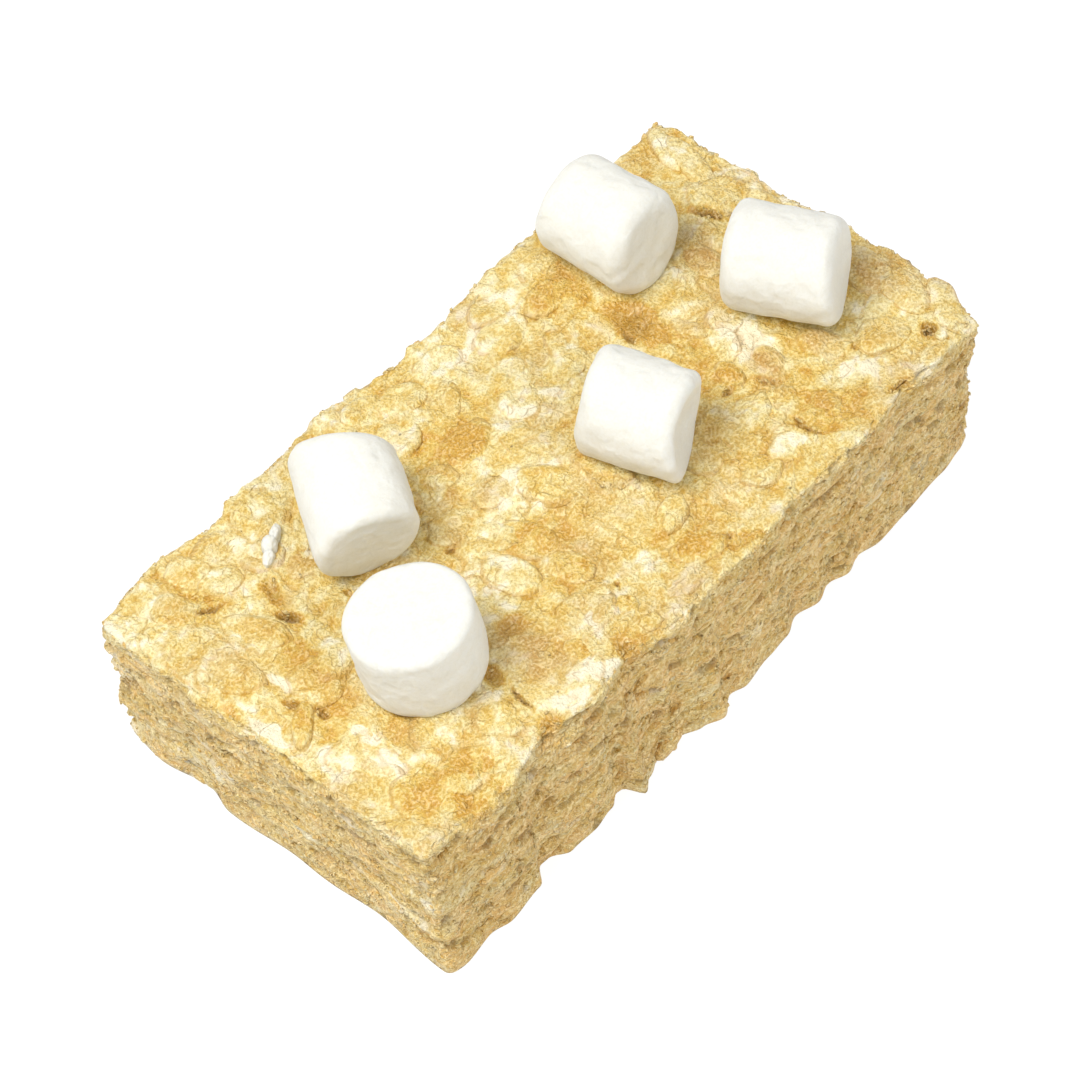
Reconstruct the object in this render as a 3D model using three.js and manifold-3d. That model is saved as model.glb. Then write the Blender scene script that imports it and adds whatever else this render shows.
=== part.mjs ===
// A crispy rice treat: a cut bar of puffed rice bound with melted marshmallow,
// with five mini marshmallows lying on its pressed top.
// Millimetres. +X runs along the bar, +Y across it and +Z up. The bar lies flat on z = 0.

import * as THREE from 'three';
import { mergeVertices } from 'three/addons/utils/BufferGeometryUtils.js';
import { ImprovedNoise } from 'three/addons/math/ImprovedNoise.js';
import Module from 'manifold-3d';

// The bar.
const BAR_LENGTH = 80;
const BAR_WIDTH = 42.8;
const BAR_HEIGHT = 18.5;
const CORE_INSET = 0.35;          // the core lies this far inside the bar's faces
const CUT_REACH = 0.5;            // crisps are cut off this far outside the bar's faces
const CORE_CELLS = [16, 9, 5];    // squares of the core's surface along X, Y and Z
const EDGE_BAND = 1.6;            // width of the softened band along every edge
const EDGE_DROP = 0.55;           // how far an edge is worn back
const TOP_SWELL = 0.45;           // slow rise and fall of the pressed top
const TOP_SWELL_PITCH = 11;
const SIDE_SWELL = 0.25;          // lumps of the cut sides
const SIDE_SWELL_PITCH = 6;
const SIDE_BAND = 7;              // a side's outline fades out this far inside the top
const BASE_TRIM = 2;              // everything below z = 0 by this much is cut away

// How far each side stands out from a plain block, as [place along the side, outwards].
// Front and back are read along X, left and right along Y, each at the base and at the top.
const FRONT_BASE = [
  [-40, 0.7], [-33, 0.8], [-26, -0.3], [-20, 1.0], [-16, 0], [-13, 1.4], [-9, 0.2],
  [-6, 0.2], [-2.5, 1.5], [4, 1.0], [9, 0.8], [12, 0], [19, 0.3], [26, -0.2], [33, 0],
  [36.5, -0.8], [40, -1.0],
];
const FRONT_TOP = [
  [-40, -0.3], [-31, 0.3], [-22, -0.6], [-17, 0.4], [-12, -0.7], [-5, 0.3], [10, 0.1],
  [24, 0.3], [30, -0.7], [35, 0.1], [40, 0],
];
const LEFT_BASE = [[-21, 0.7], [-12, 0.2], [-3, 0.7], [7, 0.9], [10.5, 0.1], [16, 0.6], [21, 0.1]];
const LEFT_TOP = [[-21, 0], [-11, 0.3], [0, 0], [9, 0.6], [21, 0.5]];
const BACK_BASE = [[-40, 0.2], [-28, 0.9], [-15, 0], [-3, 0.8], [10, -0.3], [25, 0.6], [40, 0]];
const BACK_TOP = [
  [-40, 0.6], [-36, 1.3], [-30, 1.5], [-26, 0.3], [-17, 0.6], [-7, 1.1], [2, 0.1],
  [6, -0.5], [12, 0.1], [20, 0.1], [33, -0.4], [40, 0],
];
const RIGHT_BASE = [[-21, -0.4], [-14, 0.6], [-4, 0.9], [6, 0.2], [14, 0.6], [21, 0]];
const RIGHT_TOP = [[-21, 0.8], [-17, 1.6], [-8, 2.4], [-2, 2], [4, 1.3], [12, 1], [18, 1.2], [21, 0.6]];

// Puffed rice crisps: half length, half width and half thickness, before each one's own scale.
const PRESSED_CRISP = { half: [4.3, 2.8, 0.95], proud: 0.45, lean: 0.12 };
const LAYERED_CRISP = { half: [4.2, 1.45, 1.2], proud: 0.55, lean: 0.1 };
const ROUND_CRISP = { half: [2.7, 1.8, 1.5], proud: 0.7, lean: 0.25 };
const TOP_SPACING = [8.2, 6.1];
const SIDE_SPACING = [9, 4.2];
const RIM_SPACING = 7;
const RIM_HEIGHT = 1.5;
const CRISP_ROUND = 6;
const CRISP_RINGS = 4;
const CRISP_SIZE_SPREAD = 0.18;
const SPACING_JITTER = 0.28;

// Large crisps that stand out on the top: place, turn in degrees, half sizes and how proud.
const MARKED_CRISPS = [
  { at: [-1.2, -3.4], turn: 8, half: [4.4, 2.9, 1.0], proud: 0.75 },
  { at: [3.8, -6.2], turn: -35, half: [3.4, 1.7, 1.2], proud: 0.9 },
  { at: [-36.6, -2.3], turn: 60, half: [2.4, 1.0, 1.6], proud: 1.0 },
  { at: [-34.6, -16.4], turn: -70, half: [5.0, 3.6, 1.0], proud: 0.6 },
  { at: [-31.4, 9.6], turn: -20, half: [5.6, 3.0, 1.0], proud: 0.7 },
  { at: [33.4, 8.4], turn: -50, half: [5.2, 2.2, 1.1], proud: 0.9 },
  { at: [36.8, 15.6], turn: -65, half: [4.6, 2.2, 1.1], proud: 0.8 },
];

// Mini marshmallows: squashed cylinders with round edges. The axis points out of the end that
// shows most. Each end has its own edge radius, and a slant: how its face leans out of square.
const MARSHMALLOWS = [
  {
    name: 'mini_marshmallow_1', at: [24.45, 13.2, 23.5], axis: [0.056, -0.997, -0.047],
    radius: 5.46, halfLength: 5.75, edge: 2.0, farEdge: 2.0, flare: 0.023, dish: 0.1,
    slant: [0, -0.355, -0.194], farSlant: [-0.04, 0.21, 0.1],
  },
  {
    name: 'mini_marshmallow_2', at: [31.6, -4.25, 23.35], axis: [0.432, -0.902, -0.011],
    radius: 5.55, halfLength: 5.8, edge: 1.5, farEdge: 1.6, flare: 0, dish: 0.2,
    slant: [-0.015, -0.107, -0.066], farSlant: [-0.109, 0.144, 0.027],
  },
  {
    name: 'mini_marshmallow_3', at: [8.6, -5.1, 23.45], axis: [0.314, -0.948, -0.05],
    radius: 5.6, halfLength: 5.4, edge: 1.5, farEdge: 1.8, flare: -0.02, dish: 0.9,
    slant: [-0.148, 0.065, -0.035], farSlant: [-0.25, 0.438, 0.122],
  },
  {
    name: 'mini_marshmallow_4', at: [-16.2, 9.7, 23.7], axis: [-0.526, -0.838, -0.145],
    radius: 5.3, halfLength: 5.85, edge: 1.35, farEdge: 1.6, flare: 0.02, dish: 0.1,
    slant: [-0.09, 0.09, 0], farSlant: [0.34, 0.245, 0.3],
  },
  {
    name: 'mini_marshmallow_5', at: [-24.4, -6.3, 23.2], axis: [-0.073, 0.055, 0.996],
    radius: 6.35, halfLength: 4.75, edge: 1.2, farEdge: 2.0, flare: 0, dish: 0,
    slant: [-0.02, -0.05, -0.04], farSlant: [0.1, 0.08, 0.1],
  },
];
const MARSHMALLOW_SIDES = 20;
const MARSHMALLOW_ARC = 2;
const MARSHMALLOW_SWELL = 0.25;   // unevenness of the soft surface
const MARSHMALLOW_SWELL_PITCH = 8;
const DENT_GAP = 0.3;             // clearance between a marshmallow and its dent in the bar

const CRISPY_BAR_COLOUR = 0xdfbd7a;
const MARSHMALLOW_COLOUR = 0xfbf9f2;
const SEED = 20;

const UP = new THREE.Vector3(0, 0, 1);
const { clamp, degToRad, lerp, smoothstep } = THREE.MathUtils;
const noise = new ImprovedNoise();
const wasm = await Module();
wasm.setup();

// The same row of random numbers on every run.
function randomRow(seed) {
  let state = seed;
  return function next() {
    state = (state + 0x6d2b79f5) | 0;
    let bits = Math.imul(state ^ (state >>> 15), 1 | state);
    bits = (bits + Math.imul(bits ^ (bits >>> 7), 61 | bits)) ^ bits;
    return ((bits ^ (bits >>> 14)) >>> 0) / 4294967296;
  };
}

const random = randomRow(SEED);

function spread(amount) {
  return (2 * random() - 1) * amount;
}

// A side's outline between its given points.
function outlineAt(points, place) {
  const next = points.findIndex((point) => point[0] > place);
  if (next === 0) {
    return points[0][1];
  }
  if (next < 0) {
    return points[points.length - 1][1];
  }
  const [from, to] = [points[next - 1], points[next]];
  return lerp(from[1], to[1], smoothstep(place, from[0], to[0]));
}

function sideOffset(base, top, place, z) {
  return lerp(outlineAt(base, place), outlineAt(top, place), clamp(z / BAR_HEIGHT, 0, 1));
}

// Moves a point of the plain block on to the bar's uneven form.
function shapeBar(point) {
  const { x, y, z } = point;
  const nearX = smoothstep(Math.abs(x), BAR_LENGTH / 2 - SIDE_BAND, BAR_LENGTH / 2);
  const nearY = smoothstep(Math.abs(y), BAR_WIDTH / 2 - SIDE_BAND, BAR_WIDTH / 2);
  const endOut = x > 0 ? sideOffset(RIGHT_BASE, RIGHT_TOP, y, z) : sideOffset(LEFT_BASE, LEFT_TOP, y, z);
  const sideOut = y > 0 ? sideOffset(BACK_BASE, BACK_TOP, x, z) : sideOffset(FRONT_BASE, FRONT_TOP, x, z);
  const swell = noise.noise(x / TOP_SWELL_PITCH, y / TOP_SWELL_PITCH, SEED) * 2 * TOP_SWELL;
  const lump = noise.noise(x / SIDE_SWELL_PITCH, y / SIDE_SWELL_PITCH, z / SIDE_SWELL_PITCH) * 2 * SIDE_SWELL;
  point.x += Math.sign(x) * nearX * (endOut + lump);
  point.y += Math.sign(y) * nearY * (sideOut + lump);
  point.z += swell * clamp(z / BAR_HEIGHT, 0, 1);
  return point;
}

// Even grid lines, with the first and last one a softened band inside the edge.
function bandedPlace(share, size, cells) {
  const cell = Math.round((share + 0.5) * cells);
  const half = size / 2;
  if (cell === 0 || cell === cells) {
    return Math.sign(share) * half;
  }
  return lerp(-half + EDGE_BAND, half - EDGE_BAND, (cell - 1) / (cells - 2));
}

// Shared corners only, and no triangle that has lost its area.
function closedGeometry(geometry) {
  geometry.deleteAttribute('normal');
  geometry.deleteAttribute('uv');
  const merged = mergeVertices(geometry, 1e-4);
  const kept = [];
  for (let i = 0; i < merged.index.count; i += 3) {
    const corners = [0, 1, 2].map((k) => merged.index.getX(i + k));
    if (new Set(corners).size === 3) {
      kept.push(...corners);
    }
  }
  merged.setIndex(kept);
  return merged;
}

function toSolid(geometry) {
  return new wasm.Manifold(new wasm.Mesh({
    numProp: 3,
    vertProperties: new Float32Array(geometry.attributes.position.array),
    triVerts: new Uint32Array(geometry.index.array),
  }));
}

// Finds the shell that each corner of a mesh belongs to.
function shellLabels(triangles, cornerCount) {
  const parent = Array.from({ length: cornerCount }, (_, i) => i);
  function rootOf(corner) {
    let root = corner;
    while (parent[root] !== root) {
      parent[root] = parent[parent[root]];
      root = parent[root];
    }
    return root;
  }
  for (let i = 0; i < triangles.length; i += 3) {
    parent[rootOf(triangles[i])] = rootOf(triangles[i + 1]);
    parent[rootOf(triangles[i + 1])] = rootOf(triangles[i + 2]);
  }
  return parent.map((_, i) => rootOf(i));
}

// The largest shell alone: loose scraps go, and a hollow sealed by joining is filled.
function outerShell(solid) {
  const mesh = solid.getMesh();
  const labels = shellLabels(mesh.triVerts, mesh.vertProperties.length / mesh.numProp);
  const sizes = new Map();
  for (const corner of mesh.triVerts) {
    sizes.set(labels[corner], (sizes.get(labels[corner]) ?? 0) + 1);
  }
  const largest = [...sizes].sort((a, b) => b[1] - a[1])[0][0];
  const kept = [];
  for (let i = 0; i < mesh.triVerts.length; i += 3) {
    if (labels[mesh.triVerts[i]] === largest) {
      kept.push(mesh.triVerts[i], mesh.triVerts[i + 1], mesh.triVerts[i + 2]);
    }
  }
  const geometry = new THREE.BufferGeometry();
  geometry.setAttribute('position', new THREE.BufferAttribute(mesh.vertProperties, mesh.numProp));
  geometry.setIndex(kept);
  return geometry;
}

// A block with soft edges, shaped to the bar's outline and grown past its faces.
function blockGeometry(grow) {
  const size = [BAR_LENGTH + 2 * grow, BAR_WIDTH + 2 * grow, BAR_HEIGHT + BASE_TRIM + grow];
  const geometry = closedGeometry(new THREE.BoxGeometry(1, 1, 1, ...CORE_CELLS));
  const place = geometry.attributes.position;
  const point = new THREE.Vector3();
  for (let i = 0; i < place.count; i++) {
    const shares = [place.getX(i), place.getY(i), place.getZ(i)];
    const edges = shares.filter((share) => Math.abs(share) > 0.499).length - 1;
    const placed = shares.map((share, k) => bandedPlace(share, size[k], CORE_CELLS[k]));
    const worn = placed.map((value, k) => value - Math.sign(value) * (Math.abs(shares[k]) > 0.499 ? edges * EDGE_DROP : 0));
    point.set(worn[0], worn[1], worn[2] + size[2] / 2 - BASE_TRIM);
    shapeBar(point);
    place.setXYZ(i, point.x, point.y, point.z);
  }
  return geometry;
}

// One crisp: a puffed oval, its long axis along the face and its flat side out.
function crispGeometry({ half, lean }, at, outward, along, turn) {
  const geometry = closedGeometry(new THREE.SphereGeometry(1, CRISP_ROUND, CRISP_RINGS));
  const size = 1 + spread(CRISP_SIZE_SPREAD);
  geometry.scale(half[0] * size, half[1] * (1 + spread(CRISP_SIZE_SPREAD)), half[2]);
  geometry.rotateZ(turn);
  geometry.rotateX(spread(lean));
  geometry.rotateY(spread(lean));
  const across = new THREE.Vector3().crossVectors(outward, along);
  geometry.applyMatrix4(new THREE.Matrix4().makeBasis(along, across, outward));
  geometry.translate(at.x, at.y, at.z);
  return geometry;
}

// Sets a crisp into a face of the bar, standing out by its own amount.
function crispOn(kind, at, outward, along, turn) {
  const sunk = kind.half[2] - kind.proud + CORE_INSET;
  const place = shapeBar(at.clone()).addScaledVector(outward, -sunk);
  return crispGeometry(kind, place, outward, along, turn);
}

// Places spread evenly along a length, each a little off its mark.
function spacedPlaces(length, spacing) {
  const count = Math.round(length / spacing);
  const step = length / count;
  return Array.from({ length: count }, (_, i) => (i + 0.5) * step - length / 2 + spread(step * SPACING_JITTER));
}

function topCrisps() {
  const along = new THREE.Vector3(1, 0, 0);
  const crisps = MARKED_CRISPS.map((crisp) => crispOn(
    { ...crisp, lean: 0 }, new THREE.Vector3(...crisp.at, BAR_HEIGHT), UP, along, degToRad(crisp.turn),
  ));
  const clear = (x, y) => MARKED_CRISPS.every(({ at }) => Math.hypot(at[0] - x, at[1] - y) > TOP_SPACING[1] * 0.8);
  for (const y of spacedPlaces(BAR_WIDTH - TOP_SPACING[1] / 2, TOP_SPACING[1])) {
    for (const x of spacedPlaces(BAR_LENGTH - TOP_SPACING[0] / 2, TOP_SPACING[0])) {
      const turn = random() * Math.PI;
      const crisp = crispOn(PRESSED_CRISP, new THREE.Vector3(x, y + spread(1), BAR_HEIGHT), UP, along, turn);
      if (clear(x, y)) {
        crisps.push(crisp);
      }
    }
  }
  return crisps;
}

// Squashed layers of crisps up one cut side, and rounder ones along its foot.
function sideCrisps(outward) {
  const along = new THREE.Vector3().crossVectors(UP, outward);
  const length = outward.x === 0 ? BAR_LENGTH : BAR_WIDTH;
  const reach = outward.x === 0 ? BAR_WIDTH / 2 : BAR_LENGTH / 2;
  const foot = RIM_HEIGHT + ROUND_CRISP.half[1];
  const head = BAR_HEIGHT - LAYERED_CRISP.half[1] / 2;
  const crisps = [];
  const placeAt = (place, z) => new THREE.Vector3(0, 0, z).addScaledVector(along, place).addScaledVector(outward, reach);
  for (const level of spacedPlaces(head - foot, SIDE_SPACING[1])) {
    for (const place of spacedPlaces(length - 3, SIDE_SPACING[0])) {
      const z = (head + foot) / 2 + level + spread(0.6);
      crisps.push(crispOn(LAYERED_CRISP, placeAt(place, z), outward, along, spread(0.25)));
    }
  }
  for (const place of spacedPlaces(length - 3, RIM_SPACING)) {
    crisps.push(crispOn(ROUND_CRISP, placeAt(place, RIM_HEIGHT + spread(0.4)), outward, along, spread(0.5)));
  }
  return crisps;
}

// A round-edged cylinder along Z. Its upper end may be dished, its sides may flare, and each of
// its ends may slant.
function marshmallowGeometry(marshmallow, grow = 0) {
  const { name, at, axis, radius, halfLength, edge, farEdge, flare, dish, slant, farSlant } = marshmallow;
  const [outer, end, flat, farFlat] = [radius + grow, halfLength + grow, radius - edge, radius - farEdge];
  const path = new THREE.Path();
  path.moveTo(0, -end);
  path.lineTo(farFlat / 2, -end);
  path.lineTo(farFlat, -end);
  path.absarc(farFlat, -end + farEdge + grow, farEdge + grow, -Math.PI / 2, 0);
  path.lineTo(outer, end - edge - grow);
  path.absarc(flat, end - edge - grow, edge + grow, 0, Math.PI / 2);
  path.lineTo(flat / 2, end);
  path.lineTo(0, end);
  const geometry = closedGeometry(new THREE.LatheGeometry(path.getPoints(MARSHMALLOW_ARC), MARSHMALLOW_SIDES));
  geometry.rotateX(Math.PI / 2);
  const turn = new THREE.Quaternion().setFromUnitVectors(UP, new THREE.Vector3(...axis).normalize());
  const [lean, farLean] = [slant, farSlant].map((way) => new THREE.Vector3(...way).applyQuaternion(turn.clone().invert()));
  const place = geometry.attributes.position;
  const point = new THREE.Vector3();
  const own = Number(name.slice(-1)) * 10;
  for (let i = 0; i < place.count; i++) {
    point.fromBufferAttribute(place, i);
    const scaled = point.clone().divideScalar(MARSHMALLOW_SWELL_PITCH);
    const swell = noise.noise(scaled.x + own, scaled.y, scaled.z) * MARSHMALLOW_SWELL * 2;
    const ring = Math.hypot(point.x, point.y);
    const inDish = 1 - smoothstep(ring, 0, flat + edge / 2);
    point.addScaledVector(point.clone().normalize(), swell);
    point.x *= 1 + flare * point.z / halfLength;
    point.y *= 1 + flare * point.z / halfLength;
    const share = clamp((point.z / halfLength + 1) / 2, 0, 1);
    point.z -= point.z > 0 ? dish * inDish : 0;
    point.z += lerp(farLean.x, lean.x, share) * point.x + lerp(farLean.y, lean.y, share) * point.y;
    place.setXYZ(i, point.x, point.y, point.z);
  }
  geometry.applyQuaternion(turn);
  geometry.translate(...at);
  return geometry;
}

// Crisps all over, joined to each other and cut off where the knife went.
function crispSolid() {
  const sides = [[0, -1, 0], [0, 1, 0], [-1, 0, 0], [1, 0, 0]];
  const crisps = [
    ...topCrisps(),
    ...sides.flatMap((side) => sideCrisps(new THREE.Vector3(...side))),
  ];
  const joined = crisps.map(toSolid).reduce((all, crisp) => all.add(crisp));
  return joined.intersect(toSolid(blockGeometry(CUT_REACH)));
}

// The core with its crisps, dented under each marshmallow and cut flat below.
function barGeometry() {
  let bar = toSolid(blockGeometry(-CORE_INSET)).add(crispSolid());
  for (const marshmallow of MARSHMALLOWS) {
    bar = bar.subtract(toSolid(marshmallowGeometry(marshmallow, DENT_GAP)));
  }
  const below = new THREE.BoxGeometry(BAR_LENGTH * 2, BAR_WIDTH * 2, BASE_TRIM * 4);
  below.translate(0, 0, -BASE_TRIM * 2);
  return outerShell(bar.subtract(toSolid(closedGeometry(below))));
}

function namedMesh(name, geometry, material) {
  const shown = geometry.toNonIndexed();
  shown.computeVertexNormals();
  const mesh = new THREE.Mesh(mergeVertices(shown), material);
  mesh.name = name;
  return mesh;
}

function crispyBar() {
  const material = new THREE.MeshStandardMaterial({
    color: CRISPY_BAR_COLOUR, roughness: 0.6, metalness: 0,
  });
  return namedMesh('crispy_bar', barGeometry(), material);
}

function miniMarshmallow(marshmallow) {
  const material = new THREE.MeshStandardMaterial({
    color: MARSHMALLOW_COLOUR, roughness: 0.85, metalness: 0,
  });
  return namedMesh(marshmallow.name, marshmallowGeometry(marshmallow), material);
}

// The origin is under the middle of the whole treat.
function centred(group) {
  const box = new THREE.Box3().setFromObject(group);
  const middle = box.getCenter(new THREE.Vector3());
  group.position.set(-middle.x, -middle.y, -box.min.z);
  return group;
}

const treat = new THREE.Group();
treat.add(crispyBar(), ...MARSHMALLOWS.map(miniMarshmallow));

export default centred(treat);
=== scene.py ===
"""A crispy rice treat: a cut bar of puffed rice and marshmallow with five mini marshmallows on top.

Lengths are in millimetres in the bar's own frame until a mesh is made: +X runs along the bar,
+Y across it, +Z up, with the origin under the middle of the plain block. Meshes are in metres.
"""

import math

import bpy
import numpy as np
from mathutils import Matrix, Vector


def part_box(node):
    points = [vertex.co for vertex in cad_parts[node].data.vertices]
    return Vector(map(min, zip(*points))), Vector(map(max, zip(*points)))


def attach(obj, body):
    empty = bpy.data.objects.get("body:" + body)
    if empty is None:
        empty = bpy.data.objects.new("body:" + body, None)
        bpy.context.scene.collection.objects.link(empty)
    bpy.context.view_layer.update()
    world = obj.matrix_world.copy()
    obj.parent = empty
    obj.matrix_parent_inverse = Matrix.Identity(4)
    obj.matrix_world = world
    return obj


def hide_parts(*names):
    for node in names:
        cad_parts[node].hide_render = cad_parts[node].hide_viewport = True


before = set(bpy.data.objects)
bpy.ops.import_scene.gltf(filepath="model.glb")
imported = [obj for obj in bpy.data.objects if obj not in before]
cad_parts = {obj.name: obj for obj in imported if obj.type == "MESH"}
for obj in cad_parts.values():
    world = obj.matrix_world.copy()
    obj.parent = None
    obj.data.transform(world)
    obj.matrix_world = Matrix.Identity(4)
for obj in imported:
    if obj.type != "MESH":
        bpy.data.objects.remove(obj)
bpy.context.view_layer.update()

MM = 0.001

# ---- the bar's form

BAR_SIZE = np.array([80.0, 42.8, 18.5])
BAR_LENGTH, BAR_WIDTH, BAR_HEIGHT = BAR_SIZE
BAR_HALF = BAR_SIZE[:2] / 2
TOP_EDGE_ROUND = 0.8
BASE_EDGE_ROUND = 0.7
TOP_SWELL = 0.35
SIDE_SWELL = 0.25
SIDE_BAND = 7.0

# How far each side stands out from a plain block, as (place along the side, outwards).
FRONT_BASE = (
    (-40.4, 0.8), (-38, 1.2), (-35, 0.9), (-32.5, 1.6), (-28, 1.0), (-26.2, -0.6), (-25.3, -0.5),
    (-23, 0.9), (-19.8, 1.2), (-17, 0.7), (-15.4, -0.2), (-14.8, -0.1), (-13.6, 2.0), (-12, 1.1),
    (-9.3, 0.1), (-8, 1.1), (-6.8, 0.3), (-4.3, 1.2), (-2.1, 2.0), (0.2, 0.7), (2.2, 1.4),
    (6, 1.0), (9, 0.7), (11.4, -0.2), (14.3, 0.7), (16.4, 0.1), (18.7, 0.8), (21, 0), (23.6, 0.5),
    (28, 0.4), (34, -0.2), (37.5, -0.6), (40, -1.0),
)
FRONT_TOP = (
    (-40, -0.3), (-31, 0.3), (-22, -0.6), (-17, 0.4), (-12, -0.7), (-5, 0.3), (10, 0.1),
    (24, 0.3), (30, -0.7), (35, 0.1), (40, 0),
)
LEFT_BASE = ((-21, 0.7), (-12, 0.2), (-3, 0.7), (7, 0.9), (10.5, 0.1), (16, 0.6), (21, 0.1))
LEFT_TOP = ((-21, 0), (-11, 0.3), (0, 0), (9, 0.6), (21, 0.5))
BACK_BASE = ((-40, 0.2), (-28, 0.9), (-15, 0), (-3, 0.8), (10, -0.3), (25, 0.6), (40, 0))
BACK_TOP = (
    (-40, 0.6), (-36, 1.3), (-30, 1.5), (-26, 0.3), (-17, 0.6), (-7, 1.1), (2, 0.1),
    (6, -0.5), (12, 0.1), (20, 0.1), (33, -0.4), (40, 0),
)
RIGHT_BASE = ((-21, -0.4), (-14, 0.6), (-4, 0.9), (6, 0.2), (14, 0.6), (21, 0))
RIGHT_TOP = ((-21, 0.8), (-17, 1.6), (-8, 2.4), (-2, 2), (4, 1.3), (12, 1), (18, 1.2), (21, 0.6))

# Mini marshmallows: squashed cylinders with round edges, the axis out of the end that shows
# most. The far end has its own edge. A slant is how an end's face leans out of square, and
# "saddle" how much the rim of the shown end bends.
SWEET_PARTS = (
    "at", "axis", "radius", "half", "edge", "far_edge", "flare", "dish", "saddle", "slant", "far_slant",
)
SWEETS = (
    ((24.45, 13.2, 23.5), (0.056, -0.997, -0.047), 5.46, 5.75, 1.8, 2, 0.023, 0.1, 0,
     (0, -0.355, -0.194), (-0.04, 0.21, 0.1)),
    ((31.6, -4.25, 23.35), (0.432, -0.902, -0.011), 5.55, 5.8, 1.4, 1.6, 0, 0.2, 0.15,
     (-0.015, -0.107, -0.066), (-0.109, 0.144, 0.027)),
    ((8.6, -5.1, 23.45), (0.314, -0.948, -0.05), 5.6, 5.4, 1.4, 1.8, -0.02, 1, 0.5,
     (-0.148, 0.065, -0.035), (-0.25, 0.438, 0.122)),
    ((-16.2, 9.7, 23.7), (-0.526, -0.838, -0.145), 5.3, 5.85, 1.2, 1.6, 0.02, 0.1, 0,
     (-0.09, 0.09, 0), (0.34, 0.245, 0.3)),
    ((-24.4, -6.3, 23.2), (-0.073, 0.055, 0.996), 6.35, 4.75, 1.1, 2, 0, 0, 0,
     (-0.02, -0.05, -0.04), (0.1, 0.08, 0.1)),
)
MARSHMALLOWS = [
    dict(zip(SWEET_PARTS, row), name=f"mini_marshmallow_{number}") for number, row in enumerate(SWEETS, 1)
]


def bar_place():
    """Where the bar's own origin is in the frame, in millimetres, from the marshmallows' boxes."""
    offsets = []
    for sweet in MARSHMALLOWS:
        low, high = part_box(sweet["name"])
        offsets.append(np.array((low + high) / 2) / MM - np.array(sweet["at"]))
    place = np.median(offsets, axis=0)
    place[2] = 0.0
    return place


BAR_PLACE = bar_place()


def in_frame(points):
    return (np.asarray(points, float) + BAR_PLACE) * MM


def smoothstep(low, high, value):
    t = np.clip((value - low) / (high - low), 0.0, 1.0)
    return t * t * (3 - 2 * t)


def outline_at(points, place):
    """A side's outline between its given points."""
    along = np.array([point[0] for point in points], float)
    out = np.array([point[1] for point in points], float)
    nxt = np.clip(np.searchsorted(along, place), 1, len(along) - 1)
    t = smoothstep(along[nxt - 1], along[nxt], place)
    return out[nxt - 1] * (1 - t) + out[nxt] * t


def side_offset(base, top, place, z):
    share = np.clip(z / BAR_HEIGHT, 0, 1)
    return outline_at(base, place) * (1 - share) + outline_at(top, place) * share


def bar_form(points):
    """Moves points of the plain block on to the bar's uneven form."""
    x, y, z = np.asarray(points, float).T
    near_x = smoothstep(BAR_HALF[0] - SIDE_BAND, BAR_HALF[0], np.abs(x))
    near_y = smoothstep(BAR_HALF[1] - SIDE_BAND, BAR_HALF[1], np.abs(y))
    end = np.where(x > 0, side_offset(RIGHT_BASE, RIGHT_TOP, y, z), side_offset(LEFT_BASE, LEFT_TOP, y, z))
    side = np.where(y > 0, side_offset(BACK_BASE, BACK_TOP, x, z), side_offset(FRONT_BASE, FRONT_TOP, x, z))
    swell = TOP_SWELL * np.sin(x / 7.5 + 0.8) * np.cos(y / 6.2 + x / 19)
    lump = SIDE_SWELL * np.sin((x + y) / 2.9 + z / 2.3) * np.cos(z / 3.1 - (x - y) / 6.1)
    return np.stack([
        x + np.sign(x) * near_x * (end + lump),
        y + np.sign(y) * near_y * (side + lump),
        z + swell * np.clip(z / BAR_HEIGHT, 0, 1),
    ], axis=1)


# ---- the camera

PHOTO_SIZE = 1080
CAMERA_AZIMUTH = math.radians(-40.875)
CAMERA_ELEVATION = math.radians(54.0)
CAMERA_ROLL = math.radians(-8.714)
CAMERA_DISTANCE = 500.0
CAMERA_AIM = (-2.1026, 4.1017)       # across and up from the bar's origin, in the picture's plane
CAMERA_FOCUS = 4974.2                # in photo pixels
SENSOR_WIDTH = 36.0


def camera_axes():
    a, e, r = CAMERA_AZIMUTH, CAMERA_ELEVATION, CAMERA_ROLL
    back = np.array([math.sin(a) * math.cos(e), -math.cos(a) * math.cos(e), math.sin(e)])
    level = np.array([math.cos(a), math.sin(a), 0.0])
    up = np.cross(back, level)
    right = level * math.cos(r) + up * math.sin(r)
    return right, up * math.cos(r) - level * math.sin(r), back


RIGHT, UP, BACK = camera_axes()
EYE = RIGHT * CAMERA_AIM[0] + UP * CAMERA_AIM[1] + BACK * CAMERA_DISTANCE


def on_top(x, y):
    """The place on the bar's flat top under a pixel of the photo."""
    ray = (RIGHT * (x - PHOTO_SIZE / 2) - UP * (y - PHOTO_SIZE / 2)) / CAMERA_FOCUS - BACK
    return (EYE + ray * (BAR_HEIGHT - EYE[2]) / ray[2])[:2]


def in_scene(name, data):
    """A new object of the scene."""
    made = bpy.data.objects.new(name, data)
    bpy.context.scene.collection.objects.link(made)
    return made


def make_camera():
    data = bpy.data.cameras.new("camera")
    data.sensor_width = SENSOR_WIDTH
    data.lens = CAMERA_FOCUS * SENSOR_WIDTH / PHOTO_SIZE
    camera = in_scene("camera", data)
    turn = Matrix((RIGHT, UP, BACK)).transposed()
    camera.matrix_world = Matrix.Translation(Vector(in_frame(EYE))) @ turn.to_4x4()
    bpy.context.scene.camera = camera


# ---- noise and meshes

LATTICE = 32


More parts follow.
